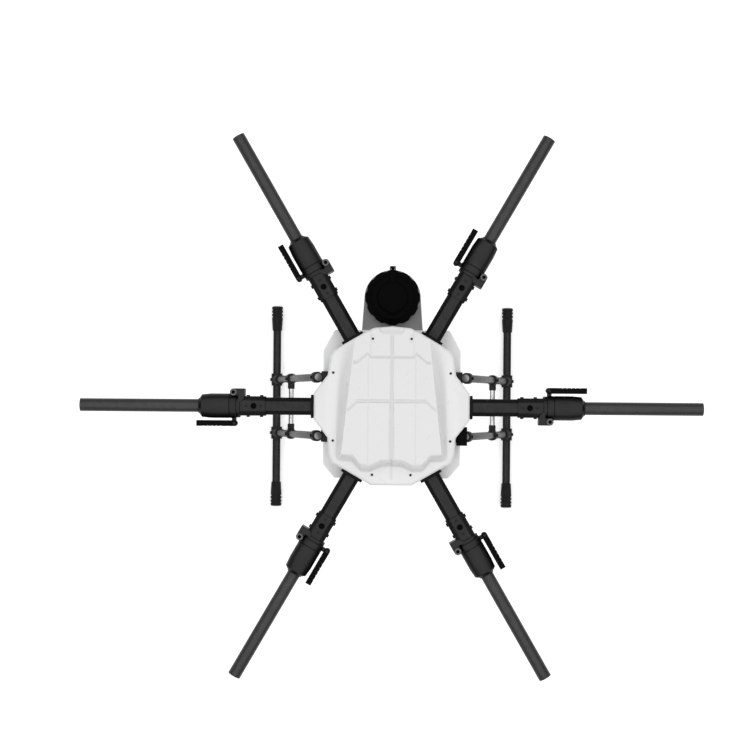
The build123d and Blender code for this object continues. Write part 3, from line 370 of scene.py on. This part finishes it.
# Painted shade: where the groove layer says the surface lies in a groove, the white is darkened to grey.
groove_value = add_node(hood_tree, "ShaderNodeAttribute", attribute_name="groove").outputs["Fac"]
hood_colour = hood_tree.nodes["Principled BSDF"].inputs["Base Color"]
plain_white = hood_colour.links[0].from_socket
groove_shade_mask = ranged(hood_tree, groove_value, 0, 1, 0.2, 0.8)
wire(hood_tree, blended(hood_tree, groove_shade_mask, plain_white, (0.76, 0.76, 0.76)), hood_colour)
TANK_MILK = make_look("milky_tank", (0.87, 0.88, 0.875), 0.42, grain=1.2, depth=0.03, patch=60.0, tone=0.03)
SNOUT_SHADE_MILK = make_look("milky_snout_painted_shade", (0.29, 0.29, 0.29), 0.42, grain=1.2, depth=0.03, patch=60.0, tone=0.04)
for milk in (TANK_MILK, SNOUT_SHADE_MILK):
    skin = milk.node_tree.nodes["Principled BSDF"]
    skin.inputs["Subsurface Weight"].default_value = 0.35
    skin.inputs["Subsurface Radius"].default_value = (1.0, 1.0, 1.0)
    skin.inputs["Subsurface Scale"].default_value = 4 * MM
tank_skin = TANK_MILK.node_tree.nodes["Principled BSDF"]
# Painted light: the tank glows faintly and evenly of its own, standing in for daylight through the thin milky
# wall.
tank_skin.inputs["Emission Color"].default_value = (0.9, 0.92, 0.91, 1)
tank_skin.inputs["Emission Strength"].default_value = 0.10
print("white and milky looks:", HOOD_WHITE.name, TANK_MILK.name, SNOUT_SHADE_MILK.name)

# %% [markdown]
# Machined and moulded parts never have knife edges. For the many small fittings the measured mesh is
# copied, its coplanar triangles are joined back into faces, and every sharp edge is bevelled by a few
# tenths of a millimetre, so edges catch the light as they do on the real thing.

# %% Softened copies of measured parts
SHARP = math.radians(32)


def clean_copy(node, edge):
    shape = bmesh.new()
    shape.from_mesh(frame["nodes"][node].data)
    bmesh.ops.remove_doubles(shape, verts=shape.verts, dist=0.002 * MM)
    bmesh.ops.dissolve_limit(shape, angle_limit=math.radians(0.6), verts=shape.verts, edges=shape.edges)
    sharp = [e for e in shape.edges if len(e.link_faces) == 2 and e.calc_face_angle(0) > SHARP]
    bmesh.ops.bevel(shape, geom=sharp, offset=edge * MM, offset_type="OFFSET", segments=2,
                    affect="EDGES", profile=0.5, material=-1, clamp_overlap=False)
    return shape


def softened(node, look, edge=0.5):
    return finish_piece(node + "_finished", clean_copy(node, edge), BODY_OF[node], look,
                        [node], crisp=40, mend=False)


for number in ARMS:
    softened(f"fold_socket_{number}", NYLON, 0.6)
    softened(f"fold_sleeve_{number}", NYLON, 0.6)
    softened(f"latch_lever_{number}", LEVER_BLACK, 0.6)
    softened(f"latch_pin_{number}", BLACK_OXIDE, 0.3)
for node, look, edge in (
    ("arm_collars", COLLAR_NYLON, 0.6), ("fold_bolts", STEEL, 0.4), ("socket_screws", BLACK_OXIDE, 0.25),
    ("skid_tees", NYLON, 0.6), ("brace_clamps", NYLON, 0.6), ("leg_brackets", NYLON, 0.6),
    ("gear_screws", BLACK_OXIDE, 0.25), ("cover_screws", BLACK_OXIDE, 0.25),
    ("side_connector", LEVER_BLACK, 0.8),
    ("filler_cap", CAP_BLACK, 0.5), ("cap_lid", CAP_BLACK, 0.5), ("legs", LEG_GREY, 0.5),
):
    softened(node, look, edge)
# Painted highlight: the top faces of the cap's raised ring take a lighter, glossier copy of the black cap
# plastic.
cap = bpy.data.objects["filler_cap_finished"]
cap.data.materials.append(CAP_RIDGE_HIGHLIGHT)
ridge_from = (span("filler_cap", 2)[1] - 1.0) * MM
for face in cap.data.polygons:
    if face.center.z > ridge_from:
        face.material_index = 1
print("softened copies made, with", sum(face.material_index for face in cap.data.polygons), "ridge faces")

# %% [markdown]
# The tank is one moulding, but its rear end hangs in the shade under the filler cap and is thicker, so it
# passes
# less light. That shade is painted: the faces behind the main body's rear wall take a greyer copy of the
# milky plastic.

# %% Tank
SNOUT_FROM = 179.5
tank_piece = softened("tank", TANK_MILK, 1.6)
# Painted shade: the snout faces get the grey copy of the tank's plastic.
tank_piece.data.materials.append(SNOUT_SHADE_MILK)
for face in tank_piece.data.polygons:
    if face.center.y > SNOUT_FROM * MM:
        face.material_index = 1
snout_faces = sum(face.material_index for face in tank_piece.data.polygons)
print("tank faces", len(tank_piece.data.polygons), "of them snout", snout_faces)

# %% [markdown]
# Plates, panels and the parts inside the hub keep their measured shape and only get their looks.

# %% Looks on measured parts
for node, look in {
    "upper_plate": PLATE_CARBON, "lower_plate": PLATE_CARBON, "side_panels": COLLAR_NYLON,
    "collar_bolts": BLACK_OXIDE, "hub_posts": POST_METAL, "battery": PACK_WRAP, "autopilot": CASE_GREY,
    "power_board": BOARD_GREEN, "tank_rails": POST_METAL, "cap_seal": RUBBER, "lid_pin": STEEL,
    "cross_braces": BRIGHT_TUBE,
}.items():
    for material_slot in frame["nodes"][node].material_slots:
        material_slot.material = look
print("looks assigned to the parts that keep their measured shape")

# %% [markdown]
# The outer arm tubes are what the eye follows, so each is a new tube with its own tow map. The same
# helper makes the two skids, laid along their axes.

# %% Tubes
for number in ARMS:
    outer = tube_shape(SLEEVE_END - 2, TIP_X, TUBE_R, 2.0)
    finish_piece(f"carbon_arm_{number}", outer, f"arm_{number}", ARM_CARBON,
                 [f"outer_tube_{number}"], arm_place(number))
for side in ("left", "right"):
    node = f"skid_{side}"
    x, z = sum(span(node, 0)) / 2, sum(span(node, 2)) / 2
    radius = (span(node, 0)[1] - span(node, 0)[0]) / 2
    rear, front = span(node, 1)
    runner = tube_shape(0, front - rear, radius, 1.5)
    finish_piece(f"carbon_{node}", runner, "airframe", GEAR_CARBON, [node],
                 along((x, rear, z), (x, front, z)))
SKID_AT = (x, z)
print("skid axis at", [round(value, 1) for value in SKID_AT])

# %% [markdown]
# The root tubes are bevelled square tube. They are copied from the frame, and each face is mapped by
# its own two directions, along the arm and across the face, so the cloth lies square on every flat.

# %% Root tubes
def map_flats(shape):
    layer = shape.loops.layers.uv.new("tows")
    for face in shape.faces:
        centre = face.calc_center_median()
        turn = round(math.atan2(centre.y, centre.x) / math.radians(60)) * math.radians(60)
        outwards = Vector((math.cos(turn), math.sin(turn), 0))
        if abs(face.normal.dot(outwards)) > 0.9:
            outwards = Vector((0, 0, 1))
        across = outwards.cross(face.normal).normalized()
        for loop in face.loops:
            spot = loop.vert.co / MM / TOW
            loop[layer].uv = (spot.dot(across), spot.dot(outwards))


roots = clean_copy("root_tubes", 0.8)
map_flats(roots)
print("root tube faces", len(roots.faces))
finish_piece("carbon_roots", roots, "airframe", ROOT_CARBON, ["root_tubes"],
             mend=False)

# %% [markdown]
# A skid ends in a moulded rubber sleeve: it swells from the tube, carries three ribs and closes in a
# rounded end. One profile is turned and laid at the four ends, rear and front, right and left.

# %% Rubber grips
GRIP_PROFILE = ((0, 10.05), (0, 11.6), (0.8, 12.2), (30, 13.9), (33.4, 14.2), (34, 12.6),
                (36.8, 12.4), (37.4, 14.3), (42.4, 14.3), (43, 12.4), (46, 12.4), (46.6, 14.3),
                (51.4, 14.3), (52, 12.6), (54.2, 12.6), (54.8, 14.1), (60.4, 13.8), (61.6, 12.8),
                (62, 11.4), (62, 0), (59, 0), (59, 10.05), (0, 10.05))
GRIP_END = span("skid_grips", 1)[1]
GRIP_START = GRIP_END - GRIP_PROFILE[-3][0] - 3
grips = bmesh.new()
for x in (-SKID_AT[0], SKID_AT[0]):
    for way in (-1, 1):
        grip = turned(GRIP_PROFILE)
        place = along((x, way * GRIP_START, SKID_AT[1]), (x, way * GRIP_END, SKID_AT[1]))
        bmesh.ops.transform(grip, matrix=place, verts=grip.verts)
        made = bpy.data.meshes.new("grip")
        grip.to_mesh(made)
        grips.from_mesh(made)
        bpy.data.meshes.remove(made)
        grip.free()
print("grip faces", len(grips.faces))
finish_piece("rubber_grips", grips, "airframe", RUBBER, ["skid_grips"])

# %% [markdown]
# The hood is the one free-form surface. Its plan is the hub's outline, read from the frame. Its height is
# written as a rule: a crowned panel that widens to the front, concave flanks down to a flat shoulder, a
# wing-shaped front wall, shallow grooves, and a flat seat round every screw. A rule keeps both halves alike.

# %% Hood heights
SKIRT = 15
SHOULDER = PLATE_TOP + SKIRT
CROWN = span("top_cover", 2)[1] - SHOULDER
PANEL_MIDDLE = 102      # half width over the hub's axis
PANEL_NARROWING = 0.11  # how much narrower each side gets per millimetre to the rear
FLANK_FOOT = 129
FRONT_RUN = 19          # how far the front wall reaches from top to foot
REAR_FALL = 0.01128     # the crown sinks by this times the distance from FALL_START, to the power 1.5
FALL_START = -10
FACET_X = 54            # where a facet line runs, and the crown starts to sink outwards
FACET_SLOPE = 0.08
LIP_X = 148             # the arm shoulders sink by LIP_DROP beyond this
LIP_DROP, LIP_RUN = 3, 28
TAIL_Y = 165            # the shallow recess at the middle of the rear edge
TAIL_HALF = 20
GROOVE_DEPTH = 1.6
FACET_GROOVE, FRONT_GROOVE = 1.4, 2.2  # half widths of the grooves
REAR_GROOVE, MIDDLE_GROOVE = 3.2, 3.6
CENTRE_GROOVE, CENTRE_WIDENING = 3.2, 2.4
SEAT_R = 5.5
SEAT_BLEND = 4
WING = ((0, -117), (24, -119), (48, -130), (70, -129), (88, -107), (190, -103))
CROSS_REAR = ((0, 114), (48, 114), (56, 122), (80, 102), (190, 90))
CROSS_MID = ((0, 13), (78, 13), (100, -7), (190, -20))
SCREW_SEATS = ((44, 155, 14.1), (134, 77.5, 0), (134, -77.5, 0), (44, -155, 0))


def ease(t):
    t = min(max(t, 0.0), 1.0)
    return t * t * (3 - 2 * t)


def between(x, points):
    for (x0, y0), (x1, y1) in zip(points, points[1:]):
        if x <= x1:
            return y0 + (y1 - y0) * (x - x0) / (x1 - x0)
    return points[-1][1]


def panel_half(y):
    return PANEL_MIDDLE - PANEL_NARROWING * y


def dip(distance, half):
    """One inside a groove of this half width and nothing outside it."""
    return 1 - ease((abs(distance) - half + 0.8) / 1.6)


def groove_depth(x, y, edge, front_top):
    """How deep the grooves are here, from none to one."""
    if y < front_top:
        return dip(x, FRONT_GROOVE) * 0.8 * ease((y + 172) / 8)
    on_top = ease((edge - 1 - x) / 2)
    facet = dip(x - FACET_X + 5 * ease((y - 108) / 12), FACET_GROOVE) * 0.6
    cross = max(dip(y - between(x, CROSS_REAR), REAR_GROOVE), dip(y - between(x, CROSS_MID), MIDDLE_GROOVE))
    centre = dip(x, CENTRE_GROOVE + CENTRE_WIDENING * ease((60 - y) / 120)) * ease((168 - y) / 6)
    return max(facet, cross, centre) * on_top


def hood_height(x, y):
    """Height above the shoulder, and how deep in a groove the point is."""
    x, edge = abs(x), panel_half(y)
    crown = CROWN - REAR_FALL * max(0, y - FALL_START) ** 1.5
    crown -= FACET_SLOPE * max(0, min(x, edge) - FACET_X)
    flank = max(0, 1 - max(0, x - edge) / (FLANK_FOOT - edge)) ** 2
    front_top = between(x, WING)
    groove = groove_depth(x, y, edge, front_top)
    height = crown * flank * ease((y - front_top + FRONT_RUN) / FRONT_RUN)
    height -= LIP_DROP * ease((x - LIP_X) / LIP_RUN)
    tail = TAIL_HALF + 1.05 * (y - TAIL_Y) - x
    height -= max(0, min(0.35 * (y - TAIL_Y), 0.7 * tail)) + GROOVE_DEPTH * groove
    for seat_x, seat_y, seat in SCREW_SEATS:
        flat = ease((SEAT_R + SEAT_BLEND - math.hypot(x - seat_x, y - seat_y)) / SEAT_BLEND)
        height += (seat - height) * flat
    return height, groove


# %% [markdown]
# The surface starts as a flat grid. Its columns are first slid sideways so that one column runs exactly
# along the panel's edge, which keeps that edge clean. Then every point is lifted to its height. The
# grid is cut along each side of the outline, and what lies outside is thrown away.

# %% Hood skin
GRID_STEPS = 220
GRID_HALF = 190
EDGE_COLUMN = GRID_HALF * 2 / GRID_STEPS * 59
RIM_SCALE = 0.962


def outline_of(node, level):
    """Outer corners of a node's plan at a level, in order round the axis."""
    furthest = {}
    for vert in frame["nodes"][node].data.vertices:
        x, y, z = (value / MM for value in vert.co)
        key = round(math.atan2(y, x), 2)
        if abs(z - level) < 0.05 and math.hypot(x, y) > math.hypot(*furthest.get(key, (0, 0))):
            furthest[key] = (x, y)
    return [furthest[key] for key in sorted(furthest)]


def inside(x, y, corners):
    crossings = 0
    for (x0, y0), (x1, y1) in zip(corners, corners[1:] + corners[:1]):
        if (y0 > y) != (y1 > y) and x < x0 + (x1 - x0) * (y - y0) / (y1 - y0):
            crossings += 1
    return crossings % 2 == 1


def distance_to(x, y, start, end):
    (x0, y0), (x1, y1) = start, end
    share = ((x - x0) * (x1 - x0) + (y - y0) * (y1 - y0)) / ((x1 - x0) ** 2 + (y1 - y0) ** 2)
    share = min(max(share, 0), 1)
    return math.hypot(x - x0 - share * (x1 - x0), y - y0 - share * (y1 - y0))


def plan_of(face):
    """Where a face lies in plan, in millimetres."""
    middle = face.calc_center_median()
    return middle.x / MM, middle.y / MM


OUTLINE = outline_of("top_cover", PLATE_TOP)
RIM = [(x * RIM_SCALE, y * RIM_SCALE) for x, y in OUTLINE]
hood = bmesh.new()
bmesh.ops.create_grid(hood, x_segments=GRID_STEPS, y_segments=GRID_STEPS, size=GRID_HALF * MM)
for vert in hood.verts:
    column, y = abs(vert.co.x) / MM, vert.co.y / MM
    edge = panel_half(y)
    if column <= EDGE_COLUMN:
        moved = column * edge / EDGE_COLUMN
    else:
        moved = edge + (column - EDGE_COLUMN) * (GRID_HALF - edge) / (GRID_HALF - EDGE_COLUMN)
    vert.co.x = math.copysign(moved * MM, vert.co.x)
for start, end in zip(RIM, RIM[1:] + RIM[:1]):
    near = [face for face in hood.faces if distance_to(*plan_of(face), start, end) < 5]
    parts = list({item for face in near for item in (*face.edges, *face.verts)}) + near
    side = Vector((end[1] - start[1], start[0] - end[0], 0)).normalized()
    bmesh.ops.bisect_plane(hood, geom=parts, plane_co=Vector((*start, 0)) * MM, plane_no=side,
                           dist=0.0001 * MM)
outer = [face for face in hood.faces if not inside(*plan_of(face), RIM)]
bmesh.ops.delete(hood, geom=outer, context="FACES")
groove_layer = hood.verts.layers.float.new("groove")
for vert in hood.verts:
    height, vert[groove_layer] = hood_height(vert.co.x / MM, vert.co.y / MM)
    vert.co.z = (SHOULDER + height) * MM
print("hood outline corners", len(OUTLINE), "faces", len(hood.faces))

# %% [markdown]
# The rim is drawn out from the cut edge: six narrow steps follow a quarter circle outwards and down, and
# a last one drops the skirt to the plate. A wall of constant thickness then closes the moulding below.

# %% Hood rim and wall
HOOD_WALL = 2.5
EDGE_DROP = 6.5
RIM_STEPS = 6
scale_now, drop_now = RIM_SCALE, 0.0
rim = [edge for edge in hood.edges if edge.is_boundary]
for step in range(1, RIM_STEPS + 2):
    drawn = bmesh.ops.extrude_edge_only(hood, edges=rim)["geom"]
    rim = [item for item in drawn if isinstance(item, bmesh.types.BMEdge)]
    corners = [item for item in drawn if isinstance(item, bmesh.types.BMVert)]
    quarter = min(step, RIM_STEPS) / RIM_STEPS * math.pi / 2
    scale_next = RIM_SCALE + (1 - RIM_SCALE) * math.sin(quarter)
    drop_next = EDGE_DROP * (1 - math.cos(quarter))
    for vert in corners:
        vert.co.x *= scale_next / scale_now
        vert.co.y *= scale_next / scale_now
        vert.co.z = vert.co.z - (drop_next - drop_now) * MM if step <= RIM_STEPS else PLATE_TOP * MM
    scale_now, drop_now = scale_next, drop_next
bmesh.ops.recalc_face_normals(hood, faces=hood.faces)
if sum(face.normal.z * face.calc_area() for face in hood.faces) < 0:
    bmesh.ops.reverse_faces(hood, faces=hood.faces)
print("hood faces with its rim", len(hood.faces))
hood_piece = finish_piece("white_hood", hood, "airframe", HOOD_WHITE, ["top_cover"],
                          crisp=38, mend=False)
wall = hood_piece.modifiers.new("wall", "SOLIDIFY")
wall.thickness = HOOD_WALL * MM
wall.offset = -1

# %% [markdown]
# Small dark things finish the joints: a rubber gland in the hole on top of each socket, and a black plug down
# in the key hole of each hinge bolt, as painted shade where the hole is only in shadow. Both are short turned
# plugs that sit in the holes of the frame's parts.

# %% Glands and key holes
GLAND_X, GLAND_R = 317.0, 6.5
GLAND_FROM, GLAND_TO = 20.05, 21.8
KEY_HOLE_R = 3.8
KEY_HOLE_FROM, KEY_HOLE_TO = 3.4, 1.6  # below the hinge bolt's head
ROUNDING = 0.3
JOINTS = {joint["name"]: joint for joint in frame["record"]["behaviour"]["joints"]}
HINGE_AT = JOINTS["arm_fold_1"]["pos_m"]
plugs = bmesh.new()
BOLT_TOP = span("fold_bolts", 2)[1] - ARM_Z
for number in ARMS:
    for x, y, low, high, radius in (
        (GLAND_X, 0, GLAND_FROM, GLAND_TO, GLAND_R),
        (HINGE_AT[0] / MM, HINGE_AT[1] / MM, BOLT_TOP - KEY_HOLE_FROM, BOLT_TOP - KEY_HOLE_TO, KEY_HOLE_R),
    ):
        place = arm_place(number) @ along((x, y, low), (x, y, high))
        height = high - low
        made = turned([(0, 0), (0, radius - ROUNDING), (ROUNDING, radius), (height - ROUNDING, radius),
                       (height, radius - ROUNDING), (height, 0)], steps=32)
        bmesh.ops.transform(made, matrix=place, verts=made.verts)
        holder = bpy.data.meshes.new("plug")
        made.to_mesh(holder)
        plugs.from_mesh(holder)
        bpy.data.meshes.remove(holder)
        made.free()
print("plug faces", len(plugs.faces))
# The key hole plugs are painted shade: black where the real hole is only shadowed.
finish_piece("glands_and_keyhole_shade", plugs, "airframe", CAP_BLACK)

# %% [markdown]
# Plain pale floor, a broad soft light overhead and a dim surround: dark surroundings keep the black parts
# black at their edges, while the soft light draws one bright line along every tube.

# %% Floor, light and camera
FLOOR_HALF = 20.0
ground = bmesh.new()
bmesh.ops.create_grid(ground, x_segments=1, y_segments=1, size=FLOOR_HALF)
floor_mesh = bpy.data.meshes.new("studio_floor")
ground.to_mesh(floor_mesh)
ground.free()
floor = bpy.data.objects.new("studio_floor", floor_mesh)
bpy.context.scene.collection.objects.link(floor)
paper = bpy.data.materials.new("white_paper")
paper.use_nodes = True
paper_shader = paper.node_tree.nodes["Principled BSDF"]
paper_shader.inputs["Base Color"].default_value = (0.9, 0.9, 0.9, 1)
paper_shader.inputs["Roughness"].default_value = 0.9
paper_shader.inputs["Emission Color"].default_value = (1, 1, 1, 1)
paper_shader.inputs["Emission Strength"].default_value = 0.5
floor_mesh.materials.append(paper)

world = bpy.data.worlds.new("studio")
world.use_nodes = True
world.node_tree.nodes["Background"].inputs["Color"].default_value = (0.75, 0.75, 0.76, 1)
world.node_tree.nodes["Background"].inputs["Strength"].default_value = 0.16
bpy.context.scene.world = world


def soft_light(name, size, power, place, aim):
    light = bpy.data.lights.new(name, "AREA")
    light.shape = "SQUARE"
    light.size = size
    light.energy = power
    lamp = bpy.data.objects.new(name, light)
    lamp.location = place
    lamp.rotation_euler = (Vector(aim) - Vector(place)).to_track_quat("-Z", "Y").to_euler()
    bpy.context.scene.collection.objects.link(lamp)


soft_light("overhead", 12.0, 530, (0, 0, 5.4), (0, 0, 0.4))

EYE_HEIGHT = 3.7
VIEW_WIDTH = 1.730
ROLL = 0.46
camera_data = bpy.data.cameras.new("camera")
camera_data.sensor_width = 36
camera_data.lens = 36 * EYE_HEIGHT / VIEW_WIDTH
camera_data.shift_x = -0.0223
camera_data.shift_y = 0.0427
camera = bpy.data.objects.new("camera", camera_data)
camera.location = (0, 0, ARM_Z * MM + EYE_HEIGHT)
camera.rotation_euler = (0, 0, math.radians(ROLL))
bpy.context.scene.collection.objects.link(camera)
bpy.context.scene.camera = camera
bpy.context.scene.view_settings.view_transform = "Standard"
print("camera height", round(camera.location.z, 3), "lens", round(camera_data.lens, 1))
